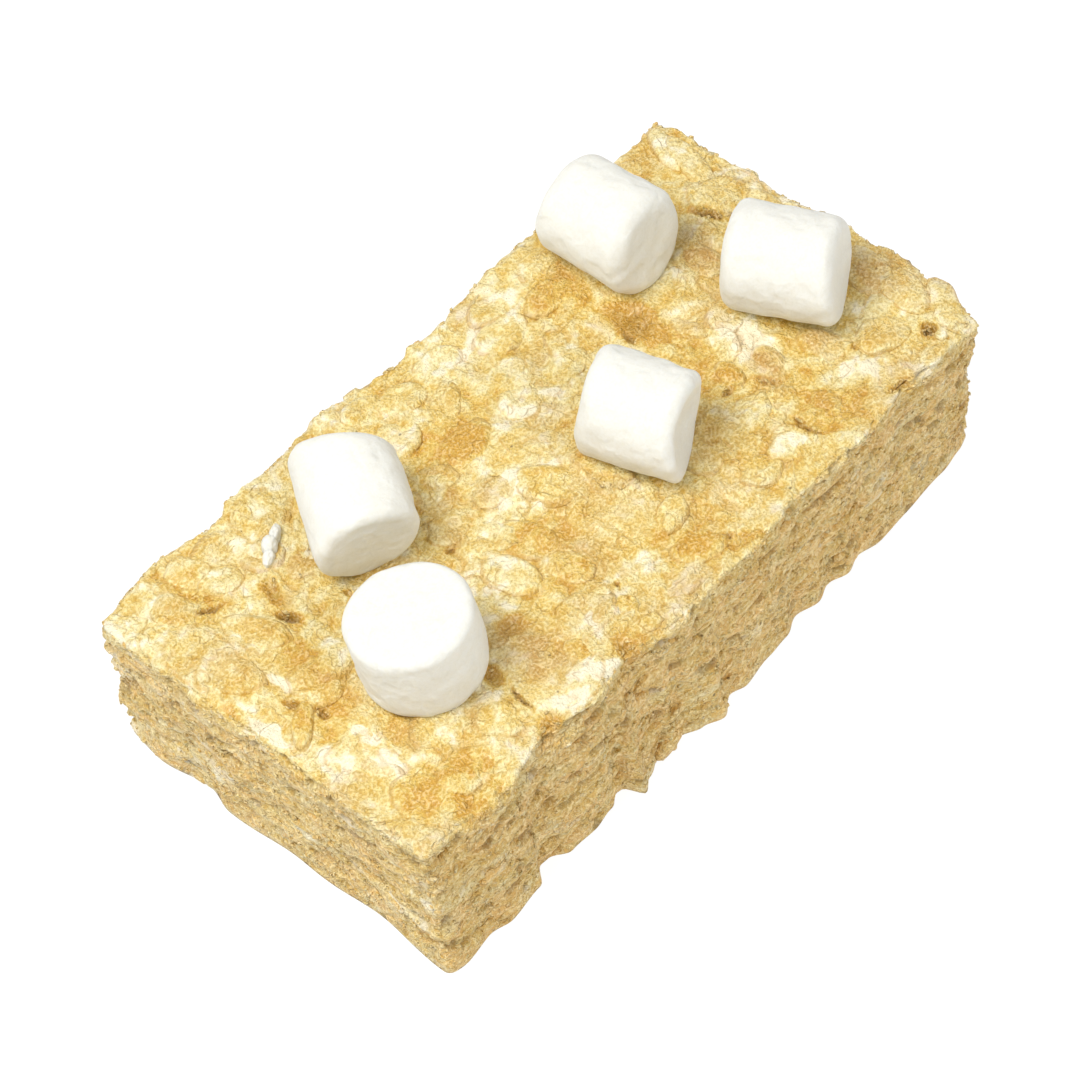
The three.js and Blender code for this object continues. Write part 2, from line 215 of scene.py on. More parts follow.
def soft_noise(points, pitch, seed):
    """Smooth noise from -1 to 1 with lumps about one pitch across. A pitch may differ by axis."""
    table = np.random.default_rng(seed).uniform(-1, 1, (LATTICE,) * 3)
    scaled = np.asarray(points, float) / np.asarray(pitch, float)
    cell = np.floor(scaled).astype(int)
    t = scaled - cell
    t = t * t * t * (t * (t * 6 - 15) + 10)
    total = np.zeros(len(scaled))
    for corner in np.ndindex(2, 2, 2):
        weight = np.prod(np.where(np.array(corner) == 1, t, 1 - t), axis=1)
        i, j, k = ((cell + corner) % LATTICE).T
        total += weight * table[i, j, k]
    return total * 1.4


def make_object(name, points, faces, material):
    """A mesh object at the origin, from points in the bar's frame."""
    mesh = bpy.data.meshes.new(name)
    mesh.from_pydata(in_frame(points).tolist(), [], faces)
    mesh.materials.append(material)
    mesh.polygons.foreach_set("use_smooth", [True] * len(mesh.polygons))
    mesh.update()
    return in_scene(name, mesh)


def store(mesh, name, values):
    """Keeps one number, or one vector, for each point of a mesh."""
    values = np.asarray(values, np.float32)
    kind = "FLOAT" if values.ndim == 1 else "FLOAT_VECTOR"
    field = "value" if values.ndim == 1 else "vector"
    mesh.attributes.new(name, kind, "POINT").data.foreach_set(field, values.ravel())


def ride(piece, node):
    """Names what a piece rides on, and the node that it helps to replace."""
    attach(piece, "root")
    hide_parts(node)
    return piece


# ---- shader building

def paint(code):
    """A linear colour from a plain hexadecimal one."""
    shares = [int(code[i:i + 2], 16) / 255 for i in (1, 3, 5)]
    linear = [s / 12.92 if s <= 0.04045 else ((s + 0.055) / 1.055) ** 2.4 for s in shares]
    return (*linear, 1.0)


class Graph:
    """Adds nodes to a tree. An input is given by name or number, as a value or another node's output."""

    def __init__(self, tree):
        self.tree = tree

    def fill(self, node, inputs):
        for name, value in inputs.items():
            if isinstance(value, bpy.types.NodeSocket):
                self.tree.links.new(value, node.inputs[name])
            else:
                node.inputs[name].default_value = value

    def add(self, kind, inputs=None, **settings):
        node = self.tree.nodes.new(kind)
        for name, value in settings.items():
            setattr(node, name, value)
        self.fill(node, inputs or {})
        return node

    def math(self, operation, *values, clamp=False):
        inputs = dict(enumerate(values))
        return self.add("ShaderNodeMath", inputs, operation=operation, use_clamp=clamp).outputs[0]

    def times(self, first, second):
        return self.math("MULTIPLY", first, second)

    def vector(self, operation, first, second):
        """A vector sum. SCALE takes a number second."""
        inputs = {0: first, "Scale" if operation == "SCALE" else 1: second}
        return self.add("ShaderNodeVectorMath", inputs, operation=operation).outputs[0]

    def mix(self, share, first, second, blend="MIX"):
        inputs = {0: share, 6: first, 7: second}
        return self.add("ShaderNodeMix", inputs, data_type="RGBA", blend_type=blend).outputs[2]

    def lumps(self, place, scale, detail=2.0, rough=0.5, warp=0.0):
        """Noise, as a value from 0 to 1 and as a vector."""
        inputs = {"Vector": place, "Scale": scale, "Detail": detail, "Roughness": rough, "Distortion": warp}
        return self.add("ShaderNodeTexNoise", inputs).outputs

    def noise(self, place, size, *how):
        """Noise from 0 to 1 with lumps about size millimetres across."""
        return self.lumps(place, 1 / (size * MM), *how)[0]

    def stray(self, place, scale, detail, reach):
        """A smooth random step of up to half the reach each way."""
        step = self.vector("SUBTRACT", self.lumps(place, scale, detail)[1], (0.5, 0.5, 0.5))
        return self.vector("SCALE", step, reach)

    def remap(self, value, low, high, to_low=0.0, to_high=1.0):
        inputs = {"Value": value, "From Min": low, "From Max": high, "To Min": to_low, "To Max": to_high}
        return self.add("ShaderNodeMapRange", inputs, interpolation_type="SMOOTHSTEP").outputs[0]

    def attribute(self, name, output="Fac"):
        """A mesh attribute, in a material."""
        return self.add("ShaderNodeAttribute", attribute_name=name).outputs[output]

    def named(self, name, kind="FLOAT_VECTOR"):
        """A mesh attribute, in geometry nodes."""
        return self.add("GeometryNodeInputNamedAttribute", {"Name": name}, data_type=kind).outputs[0]

    def moved(self, geometry, how, where):
        return self.add("GeometryNodeSetPosition", {"Geometry": geometry, how: where}).outputs[0]

    def ramp(self, share, stops):
        """Colours along a value, each stop a place and a hexadecimal colour."""
        node = self.add("ShaderNodeValToRGB", {0: share})
        bar = node.color_ramp
        while len(bar.elements) < len(stops):
            bar.elements.new(0.5)
        for element, (place, code) in zip(bar.elements, stops):
            element.position = place
            element.color = paint(code)
        return node.outputs[0]


def node_group(name, kind, inputs, outputs):
    """A node group with sockets named by kind, the graph to fill it with, and its inputs."""
    group = bpy.data.node_groups.new(name, kind)
    for way, sockets in (("INPUT", inputs), ("OUTPUT", outputs)):
        for socket, labels in sockets.items():
            for label in labels:
                group.interface.new_socket(name=label, in_out=way, socket_type=socket)
    graph = Graph(group)
    return group, graph, graph.add("NodeGroupInput").outputs


FLOAT = "NodeSocketFloat"
VECTOR = "NodeSocketVector"
COLOUR = "NodeSocketColor"
GEOMETRY = "NodeSocketGeometry"


def make_grain_group():
    """Mealy grain of puffed rice: a fine speckle, crumbs, winding wrinkles, and their height."""
    group, g, given = node_group(
        "mealy_grain", "ShaderNodeTree", {VECTOR: ["Place"], FLOAT: ["Grain Size", "Pore Size"]},
        {FLOAT: ["Speckle", "Pores", "Wrinkle", "Height"]},
    )
    place = given["Place"]
    fine_scale = g.math("DIVIDE", 1 / MM, given["Grain Size"])
    pore_scale = g.math("DIVIDE", 1 / MM, given["Pore Size"])
    speckle = g.remap(g.lumps(place, fine_scale, 2.0, 0.65)[0], 0.34, 0.66)
    bent = g.vector("ADD", place, g.stray(place, pore_scale, 0.0, g.times(given["Pore Size"], 1.7 * MM)))
    away = g.add("ShaderNodeTexVoronoi", {"Vector": bent, "Scale": pore_scale}).outputs["Distance"]
    pores = g.math("SUBTRACT", 1.0, g.times(away, away))
    winding = g.math("ABSOLUTE", g.math("SUBTRACT", g.noise(place, 2.4, 2.0, 0.5, 0.3), 0.5))
    shown = g.remap(g.noise(place, 3.1, 0.0), 0.42, 0.6)
    wrinkle = g.times(g.remap(winding, 0.0, 0.022, 1.0, 0.0), shown)
    rise = g.math("MULTIPLY_ADD", speckle, 0.4, g.times(pores, 0.6))
    height = g.math("MULTIPLY_ADD", wrinkle, -0.3, rise)
    g.add("NodeGroupOutput", {"Speckle": speckle, "Pores": pores, "Wrinkle": wrinkle, "Height": height})
    return group


# The glaze from pale cream to amber, and what the dark grains of puffed rice leave of it, partly as painted
# fine shade. The pale grains are partly painted glints.
GLAZE_COLOURS = (
    (0.0, "#FCF3D3"), (0.14, "#F7E9B4"), (0.3, "#F2E09E"), (0.5, "#EDD382"), (0.75, "#E6C25E"),
    (1.0, "#DAA93E"),
)
GRAIN_DARK_AND_SHADE = (0.68, 0.56, 0.37, 1.0)
GRAIN_PALE_AND_GLINT = "#FCEBBC"
# Darker gold in creases, crisp rims and wrinkles: partly the glaze's tone, partly painted shade.
CREASE_GOLD_AND_SHADE = "#C8963E"
# Tiny dark specks that stand for pinholes: painted shade.
PINHOLE_SHADE_COLOUR = "#5C4216"
# Painted shade at the bottom of hollows and pits.
HOLLOW_SHADE_COLOUR = "#7A5A22"


def make_tint_group():
    """The colours of glazed puffed rice, from pale cream through straw to amber, and greyish tan, with
    painted shade and painted glints in its speckle, creases, specks and hollows.
    """
    values = ["Toast", "Shade", "Crease", "Depth", "Speckle", "Wrinkle", "Variation", "Grain"]
    inputs = {VECTOR: ["Place"], COLOUR: ["Tan"], FLOAT: values}
    group, g, given = node_group("rice_tint", "ShaderNodeTree", inputs, {COLOUR: ["Color"]})
    place = given["Place"]
    drift = g.remap(g.noise(place, 3.4, 1.0, 0.5, 0.8), 0.32, 0.68, -0.27, 0.27)
    mottle = g.remap(g.noise(place, 1.3, 1.5, 0.5, 0.5), 0.32, 0.68, -0.2, 0.2)
    change = g.times(g.math("ADD", drift, mottle), given["Variation"])
    toast = g.math("ADD", given["Toast"], change, clamp=True)
    glazed = g.ramp(toast, GLAZE_COLOURS)
    patches = g.remap(g.noise(place, 2.4, 1.5, 0.5, 0.5), 0.38, 0.62, 0.5, 1.0)
    tanned = g.mix(g.math("MULTIPLY", given["Shade"], patches, clamp=True), glazed, given["Tan"])
    grain = g.times(given["Grain"], g.remap(toast, 0.0, 0.25, 0.3, 1.0))
    # Dark speckle is grain colour and painted fine shade; light speckle is pale grain and painted glints.
    dark = g.times(g.remap(given["Speckle"], 0.0, 0.45, 1.0, 0.0), grain)
    pale_and_glint = g.times(g.remap(given["Speckle"], 0.5, 0.9, 0.0, 0.5), grain)
    grained = g.mix(pale_and_glint, g.mix(dark, tanned, GRAIN_DARK_AND_SHADE, "MULTIPLY"), paint(GRAIN_PALE_AND_GLINT))
    # Creases and wrinkles take a darker gold: partly the glaze's tone, partly painted shade.
    creases = g.math("MAXIMUM", given["Crease"], g.times(given["Wrinkle"], 0.4))
    creased = g.mix(creases, grained, paint(CREASE_GOLD_AND_SHADE))
    # Rare tiny dark specks for pinholes: painted shade.
    spots = g.add("ShaderNodeTexVoronoi", {"Vector": place, "Scale": 0.38 / MM}).outputs
    near = g.remap(spots["Distance"], 0.05, 0.09, 1.0, 0.0)
    rare = g.math("GREATER_THAN", g.add("ShaderNodeSeparateColor", {0: spots["Color"]}).outputs[0], 0.8)
    pinhole_shaded = g.mix(g.times(near, g.times(rare, 0.7)), creased, paint(PINHOLE_SHADE_COLOUR))
    # Painted shade in the hollows and pits.
    g.add("NodeGroupOutput", {"Color": g.mix(given["Depth"], pinhole_shaded, paint(HOLLOW_SHADE_COLOUR))})
    return group


GRAIN = make_grain_group()
TINT = make_tint_group()


def new_material(name):
    material = bpy.data.materials.new(name)
    material.use_nodes = True
    graph = Graph(material.node_tree)
    material.node_tree.nodes.clear()
    shader = graph.add("ShaderNodeBsdfPrincipled")
    output = graph.add("ShaderNodeOutputMaterial")
    graph.tree.links.new(shader.outputs[0], output.inputs[0])
    place = graph.add("ShaderNodeTexCoord").outputs["Object"]
    return material, graph, shader, place


PORE_PER_GRAIN = 3.2


def rice_material(name, tan, grain, bump, roughness, coat, variation, speckle, flatten=1.0, own_rim=0.0):
    """Puffed rice in marshmallow. The tint follows the piece's own attributes."""
    material, g, shader, place = new_material(name)
    meal_inputs = {"Place": g.vector("MULTIPLY", place, (1.0, 1.0, flatten)), "Grain Size": grain,
                   "Pore Size": PORE_PER_GRAIN * grain}
    meal = g.add("ShaderNodeGroup", meal_inputs, node_tree=GRAIN).outputs
    if own_rim:
        own = g.add("ShaderNodeSeparateXYZ", {0: g.attribute("own", "Vector")}).outputs
        # The low part of a crisp, where it dips into the film, takes the crease colour: partly painted
        # shade.
        crease = g.remap(own[2], 0.58, 0.4, 0.0, own_rim)
        hollow_shade = 0.0
    else:
        crease = g.attribute("crease")
        hollow_shade = g.attribute("hollow_shade")
    tint = g.add("ShaderNodeGroup", {
        "Place": place, "Toast": g.attribute("toast"), "Shade": g.attribute("shade"), "Crease": crease,
        "Depth": hollow_shade, "Speckle": meal["Speckle"], "Wrinkle": meal["Wrinkle"],
        "Variation": variation, "Grain": speckle, "Tan": paint(tan),
    }, node_tree=TINT).outputs[0]
    relief = g.add("ShaderNodeBump", {"Strength": 1.0, "Distance": bump * MM, "Height": meal["Height"]})
    g.fill(shader, {
        "Base Color": tint, "Normal": relief.outputs[0],
        "Roughness": g.remap(meal["Pores"], 0.0, 1.0, roughness + 0.12, roughness - 0.08),
        "Coat Weight": coat, "Coat Roughness": 0.35,
    })
    return material


def marshmallow_material():
    """Soft white with a fine powder and faint dents."""
    material, g, shader, place = new_material("marshmallow_white")
    powder = g.noise(place, 0.3, 4.0, 0.75)
    dents = g.remap(g.noise(place, 1.8, 1.0, 0.4, 0.2), 0.3, 0.62)
    height = g.math("MULTIPLY_ADD", powder, 0.35, g.times(dents, 0.7))
    relief = g.add("ShaderNodeBump", {"Strength": 0.6, "Distance": 0.25 * MM, "Height": height})
    g.fill(shader, {
        "Base Color": g.mix(g.remap(powder, 0.3, 0.6, 0.3, 0.0), paint("#E6E5DD"), paint("#D8D3BF")),
        "Roughness": g.remap(powder, 0.3, 0.7, 0.75, 0.95), "Normal": relief.outputs[0],
        "Subsurface Weight": 0.25, "Subsurface Radius": (1.0, 0.9, 0.75), "Subsurface Scale": 1.0 * MM,
    })
    return material


# ---- what the photo shows on the top

# Crisps that show on the top. Each row starts with an oval: its middle in photo pixels, the step from there
# to one end, and its half width in millimetres. Then come how far it rises in millimetres, toast (0 cream, 1
# amber) and shade (1 greyish tan). Beside the marshmallows a high shade is painted shadow as well as tan.
CRISPS_SEEN = (
    (549, 486, 36, 8, 2.4, 0.6, 0.5, 0), (604, 470, 30, 14, 1.5, 0.95, 0.42, 0),
    (468, 445, 20, -26, 2.4, 0.4, 0.85, 0), (530, 538, 32, 12, 2.3, 0.35, 0.75, 0.1),
    (672, 512, 8, -22, 1.8, 0.45, 0.45, 0), (256, 632, 35, 10, 2.1, 0.5, 0.6, 0.3),
    (237, 677, 31, 6, 2.3, 0.45, 0.45, 0.25), (316, 680, 30, 12, 2.8, 0.4, 0.5, 0.3),
    (303, 725, -2, 26, 1.1, 0.8, 0.8, 0), (428, 800, 36, 20, 3.2, 0.3, 0.55, 0),
    (463, 770, 18, -26, 2.6, 0.3, 0.5, 0), (690, 163, 25, 28, 1.5, 0.6, 0.3, 0.1),
    (668, 150, 18, 24, 1.5, 0.45, 0.25, 0), (716, 202, 27, 6, 1.9, 0.9, 0.35, 0.1),
    (760, 205, 24, 12, 1.8, 0.5, 0.35, 0.2), (944, 304, 14, 30, 1.8, 0.2, 0.4, 0.1),
    (941, 336, 7, 2, 0.7, 0.6, 0.35, 0), (866, 268, 30, 24, 2.4, 0.3, 0.45, 0.8),
    (905, 290, 22, 22, 2.2, 0.45, 0.4, 0.2), (882, 333, 30, -12, 2.2, 0.4, 0.45, 0.3),
    (822, 340, 28, 8, 2, 0.35, 0.45, 0.7), (730, 372, 13, 12, 1.3, 0.35, 0.9, 0),
    (768, 358, 16, 14, 1.6, 0.2, 0.6, 0.8), (702, 455, 22, 12, 2.3, 0.3, 0.4, 0.45),
    (760, 470, 22, -10, 2, 0.4, 0.5, 0.1), (826, 400, 15, 9, 1.3, 0.3, 0.9, 0.3),
    (790, 445, 24, -12, 1.9, 0.4, 0.2, 0), (578, 652, 13, 11, 1.4, 0.3, 0.8, 0.1),
    (570, 566, 26, 8, 2, 0.35, 0.75, 0.1), (512, 575, 30, 14, 2.2, 0.45, 0.2, 0),
    (627, 604, 13, 5, 1.2, 0.4, 0.85, 0), (651, 622, 12, -5, 1.1, 0.5, 0.45, 0),
    (700, 545, 30, -10, 2, 0.4, 0.75, 0), (500, 722, 24, 10, 2.4, 0.45, 0.45, 0),
    (188, 572, 26, 5, 2.2, 0.45, 0.5, 0.1), (172, 612, 24, 12, 2, 0.45, 0.5, 0.3),
    (222, 580, 22, -10, 2, 0.4, 0.25, 0), (402, 398, 26, -14, 2.2, 0.4, 0.45, 0),
    (437, 362, 24, -16, 2.1, 0.35, 0.25, 0), (500, 332, 28, -16, 2.3, 0.35, 0.35, 0),
    (548, 296, 22, -18, 2, 0.4, 0.7, 0.1), (520, 402, 27, -6, 2.4, 0.3, 0.2, 0),
    (562, 368, 22, -20, 2.2, 0.35, 0.4, 0), (700, 262, 24, 14, 2.2, 0.25, 0.45, 0.9),
    (448, 528, 22, -12, 2, 0.3, 0.45, 0.2),
)

# Soft patches in the film, greyish tan, golden and cream: an oval, then the change of tone. The tan ones
# beside the marshmallows are painted shadow as well as tan.
TAN_AND_SHADOW_PATCHES = (
    (528, 650, 34, 30, 3.6, 0.95), (712, 430, 16, 32, 3, 0.45), (700, 248, 16, 26, 2.4, 0.6),
    (880, 275, 26, 20, 2.6, 0.6), (770, 372, 18, 22, 1.8, 0.7), (470, 705, 24, 12, 2, 0.3),
    (225, 665, 40, 22, 3, 0.4), (448, 528, 20, 10, 1.6, 0.6), (596, 330, 16, 10, 1.4, 0.4),
)
GOLD_PATCHES = (
    (430, 795, 42, 22, 3.2, 0.7), (470, 770, 18, -22, 2.2, 0.6), (462, 445, 22, -24, 2.4, 0.4),
    (525, 545, 30, 12, 2, 0.25), (690, 540, 26, -10, 2, 0.4), (640, 640, 14, -8, 1.4, 0.3),
    (250, 700, 40, 20, 2.6, 0.3), (190, 590, 30, 8, 2.4, 0.25), (634, 320, 28, 13, 1.9, 0.9),
    (560, 250, 20, 26, 1.8, 0.35), (730, 370, 18, 12, 2, 0.3), (310, 660, 24, 16, 2.4, 0.25),
    (590, 470, 30, 14, 1.8, 0.3), (800, 340, 24, 14, 2, 0.25),
)
CREAM_PATCHES = (
    (265, 727, 27, 14, 0.8, 1.1), (244, 704, 16, 10, 0.7, 0.7), (362, 736, 15, 7, 1, 1.1),
    (281, 683, 10, 12, 0.75, 1.1), (566, 697, 20, -7, 0.7, 0.8), (300, 757, 20, 16, 0.6, 0.5),
    (392, 767, 26, 11, 1.2, 0.7), (484, 776, 14, -10, 0.8, 0.7), (447, 741, 16, 6, 0.8, 0.7),
    (592, 622, 10, 5, 0.6, 0.7), (545, 560, 30, 14, 1.6, 0.5), (690, 600, 30, -20, 1.3, 0.5),
    (748, 610, 14, -10, 1.2, 0.6), (325, 640, 16, 20, 1.4, 0.5), (240, 545, 16, -12, 1.6, 0.5),
    (655, 560, 18, -8, 1.2, 0.5), (398, 765, 32, 16, 1.8, 0.4), (560, 700, 34, -14, 1.4, 0.35),
    (605, 684, 24, -14, 1.4, 0.35), (500, 592, 30, 14, 2, 0.45), (478, 345, 34, -26, 2.6, 0.35),
    (735, 325, 32, 16, 1.8, 0.4), (840, 375, 30, -16, 1.6, 0.35), (700, 585, 26, -16, 1.8, 0.5),
    (330, 760, 30, 20, 1.6, 0.5),
)

# Hollows: an oval, then the depth, and how dark the bottom is painted as shade.
HOLLOWS_SEEN = (
    (287, 614, 10, 4, 0.6, 1.2, 0.8), (203, 612, 20, -9, 0.25, 0.7, 0.7),
    (270, 588, 9, 11, 0.8, 0.6, 0.3), (524, 699, 11, 13, 0.22, 0.6, 0.7),
    (634, 322, 25, 12, 1.7, 0.6, 0.3), (627, 336, 9, 7, 0.45, 0.6, 0.7),
    (925, 333, 8, 4, 0.45, 1, 0.7), (709, 217, 17, 4, 0.3, 0.8, 0.6), (725, 391, 5, -4, 0.3, 0.6, 0.6),
    (808, 430, 15, 2, 0.22, 0.6, 0.6), (800, 424, 5, 7, 0.3, 0.6, 0.4),
    (727, 535, 6, -2, 0.25, 0.6, 0.9), (617, 585, 3, 2, 0.25, 0.5, 0.8),
    (558, 732, 10, 10, 1, 0.9, 0.25), (266, 679, 4, 5, 0.3, 0.6, 0.5),
    (322, 711, 6, 5, 0.5, 0.7, 0.35), (291, 702, 8, 3, 0.4, 0.7, 0.35),
    (632, 652, 8, 12, 0.8, 0.9, 0.3), (904, 386, 13, -8, 0.4, 0.8, 0.3),
    (768, 378, 12, 4, 0.4, 0.5, 0.4), (862, 342, 11, -6, 0.3, 0.6, 0.4),
    (452, 547, 5, -3, 0.3, 0.5, 0.6), (513, 627, 8, -10, 0.9, 0.3, 0.2),
    (492, 680, 8, 8, 0.9, 0.4, 0.3), (345, 590, 4, 3, 0.3, 0.4, 0.5),
)


def seen_ellipse(x, y, reach_x, reach_y, half_width):
    """A marked oval on the bar's top: its middle, half length, half width and turn."""
    centre = on_top(x, y)
    end = on_top(x + reach_x, y + reach_y) - centre
    return centre, float(np.hypot(*end)), half_width, math.atan2(end[1], end[0])


# ---- laying out the crisps

LAYOUT_SEED = 20
TOP_SPACING = (4.6, 3.6)
TOP_CLEAR = 3.6
HOLLOW_CLEAR = 0.75
SIDE_SPACING = (4.6, 1.9)
FOOT_SPACING = 3.4
RIM_CLEAR = 3.0
CORNER_CLEAR = 1.4
END_PROUD = 0.4
FULLY_LOOSE = 2.4        # half width of the crisps that wander the most
UP_AXIS = np.array([0.0, 0.0, 1.0])
ALONG_AXIS = np.array([1.0, 0.0, 0.0])


def crisp_row(at, outward, along, half, turn, lean, toast, shade, clear=False):
    """One crisp: its middle, its axes as columns, half sizes, tint, and whether it clears the film."""
    axes = np.stack([along, np.cross(outward, along), outward], axis=1)
    for angle, axis in ((turn, "Z"), (lean[0], "X"), (lean[1], "Y")):
        axes = axes @ np.array(Matrix.Rotation(angle, 3, axis))
    loose = min(1.0, (half[1] / FULLY_LOOSE) ** 2)
    return dict(at=at, axes=axes, half=half, toast=toast, shade=shade, loose=loose, clear=clear)


def top_height(x, y):
    return bar_form([[x, y, BAR_HEIGHT]])[0, 2]


def seen_crisps():
    crisps = []
    for *oval, rise, toast, shade in CRISPS_SEEN:
        centre, half_length, half_width, turn = seen_ellipse(*oval)
        thick = 0.8 + 0.3 * rise
        at = np.array([*centre, top_height(*centre) + rise - thick])
        half = (half_length, half_width, thick)
        crisps.append(crisp_row(at, UP_AXIS, ALONG_AXIS, half, turn, (0.0, 0.0), toast, shade, rise > 0.15))
    return crisps


def filling_crisps(rng, taken):
    """Pressed crisps wherever the marked ones leave the top bare."""
    crisps = []
    columns = int(BAR_LENGTH / TOP_SPACING[0])
    rows = int(BAR_WIDTH / TOP_SPACING[1])
    centres = [tuple(crisp["at"][:2]) for crisp in taken]
    hollows = [seen_ellipse(*hollow[:5])[:2] for hollow in HOLLOWS_SEEN]
    for i, j in rng.permutation(list(np.ndindex(columns, rows))):
        x = ((i + 0.5) / columns - 0.5) * (BAR_LENGTH - RIM_CLEAR) + rng.uniform(-1.6, 1.6)
        y = ((j + 0.5) / rows - 0.5) * (BAR_WIDTH - RIM_CLEAR) + rng.uniform(-1.2, 1.2)
        half = (rng.uniform(2.6, 4.4), rng.uniform(1.7, 2.7), rng.uniform(0.75, 0.95))
        turn = rng.uniform(0, math.pi)
        lean = rng.uniform(-0.13, 0.13, 2)
        toast = rng.uniform(0.25, 0.62)
        shade = max(0.0, rng.uniform(-0.8, 0.7))
        rise = rng.uniform(0.02, 0.26)
        if any(math.hypot(x - a, y - b) < TOP_CLEAR for a, b in centres):
            continue
        if any(math.hypot(x - a[0], y - a[1]) < HOLLOW_CLEAR * half[0] + b for a, b in hollows):
            continue
        edge = min(BAR_HALF[0] - abs(x), BAR_HALF[1] - abs(y))
        if edge < half[1] + 1.2:
            turn = 0.0 if BAR_HALF[1] - abs(y) < BAR_HALF[0] - abs(x) else math.pi / 2
            half = (half[0], max(1.0, min(half[1], edge - 0.3)), half[2])
            rise = min(rise, 0.15)
        at = np.array([x, y, top_height(x, y) + rise - half[2]])
        crisps.append(crisp_row(at, UP_AXIS, ALONG_AXIS, half, turn, lean, toast, shade))
        centres.append((x, y))
    return crisps


def on_side(outward, along, place, z, half_length, proud):
    """The place of a crisp on a side, where its ends don't stand out past the outline."""
    reach = abs(outward @ np.array([*BAR_HALF, 0]))
    ends = [along * (place + share * half_length) + outward * reach + UP_AXIS * z for share in (0, -1, 1)]
    formed = bar_form(ends)
    out = formed @ outward
    return formed[0] + outward * (min(out[0], out[1:].min() + END_PROUD) - out[0] + proud)


def side_crisps(rng, outward):
    """Squashed layers of crisps up one cut side, and rounder ones along its foot."""
    outward = np.array(outward, float)
    along = np.cross(UP_AXIS, outward)
    # The front, out of the key light, gets a warmer tint: painted shade.
    front_shade_warmth = 0.2 if outward[1] < 0 else 0.0
    length = BAR_LENGTH if outward[0] == 0 else BAR_WIDTH
    crisps = []

    def lay(place, z, half, proud, turn, lean, shades):
        place = np.clip(place, half[0] + CORNER_CLEAR - length / 2, length / 2 - half[0] - CORNER_CLEAR)
        at = on_side(outward, along, place, z, half[0], proud - half[2])
        crisps.append(crisp_row(
            at, outward, along, half, rng.uniform(-turn, turn), rng.uniform(-lean, lean, 2),
            rng.uniform(0.26, 0.5) + 0.6 * front_shade_warmth, rng.uniform(*shades) + front_shade_warmth,
        ))

    rows = int((BAR_HEIGHT - RIM_CLEAR) / SIDE_SPACING[1])
    columns = int(length / SIDE_SPACING[0])
    for j, i in np.ndindex(rows, columns):
        place = ((i + 0.5) / columns - 0.5) * (length - RIM_CLEAR) + rng.uniform(-2.2, 2.2)
        z = 1.8 + (j + 0.5) / rows * (BAR_HEIGHT - 3.6) + rng.uniform(-0.6, 0.6)
        half = (rng.uniform(1.8, 4.2), rng.uniform(0.45, 1.0), rng.uniform(0.6, 0.9))
        lay(place, z, half, rng.uniform(-0.2, 0.12), 0.25, 0.14, (0.35, 0.8))
    for i in range(int(length / FOOT_SPACING)):
        place = ((i + 0.5) * FOOT_SPACING - length / 2) + rng.uniform(-0.8, 0.8)
        half = (rng.uniform(1.4, 2.6), rng.uniform(0.8, 1.3), rng.uniform(0.8, 1.2))
        z = half[1] * 0.8 + rng.uniform(0.1, 0.6)
        lay(place, z, half, rng.uniform(-0.1, 0.3), 0.35, 0.2, (0.4, 0.85))
    return crisps


def crumbs_on(rng, core, count):
    """Small crumbs bedded in the cut sides."""
    sides = [face for face in core.data.polygons if abs(face.normal.z) < 0.7 and face.center.z > 0.5 * MM]
    crumbs = []
    for pick in rng.choice(len(sides), count):
        face = sides[pick]
        outward = np.array(face.normal) * [1, 1, 0]
        outward /= np.linalg.norm(outward)
        half = rng.uniform(0.1, 0.3) * rng.uniform([1.0, 0.6, 0.6], [2.0, 1.0, 1.0])
        at = np.array(face.center) / MM - BAR_PLACE + outward * half[2] * rng.uniform(-0.6, 0.2)
        crumbs.append(crisp_row(at, outward, np.cross(UP_AXIS, outward), half, rng.uniform(-0.5, 0.5),
                                rng.uniform(-0.5, 0.5, 2), rng.uniform(0.15, 0.45), rng.uniform(0.1, 0.8)))
    return crumbs


# ---- crisps by geometry nodes

DISH_BASE = 2.718
DISH_FALL = -4.0


def puffed_oval(g, given):
    """A unit ball, flattened and dished, that keeps its plain shape as the attribute own."""
    ball = g.add("GeometryNodeMeshIcoSphere", {"Radius": 1.0, "Subdivisions": given["Roundness"]}).outputs[0]
    position = g.add("GeometryNodeInputPosition").outputs[0]
    kept = g.add("GeometryNodeStoreNamedAttribute", {"Geometry": ball, "Name": "own", "Value": position},
                 data_type="FLOAT_VECTOR", domain="POINT").outputs[0]
    x, y, z = g.add("ShaderNodeSeparateXYZ", {0: position}).outputs
    ring = g.math("ADD", g.times(x, x), g.times(y, y))
    flat = g.times(z, g.math("SQRT", g.math("MULTIPLY_ADD", ring, given["Flatness"], 1.0)))
    middle = g.math("POWER", DISH_BASE, g.times(ring, DISH_FALL))
    dished = g.math("SUBTRACT", flat, g.times(middle, given["Dish"]))
    return g.moved(kept, "Position", g.add("ShaderNodeCombineXYZ", {0: x, 1: y, 2: dished}).outputs[0])


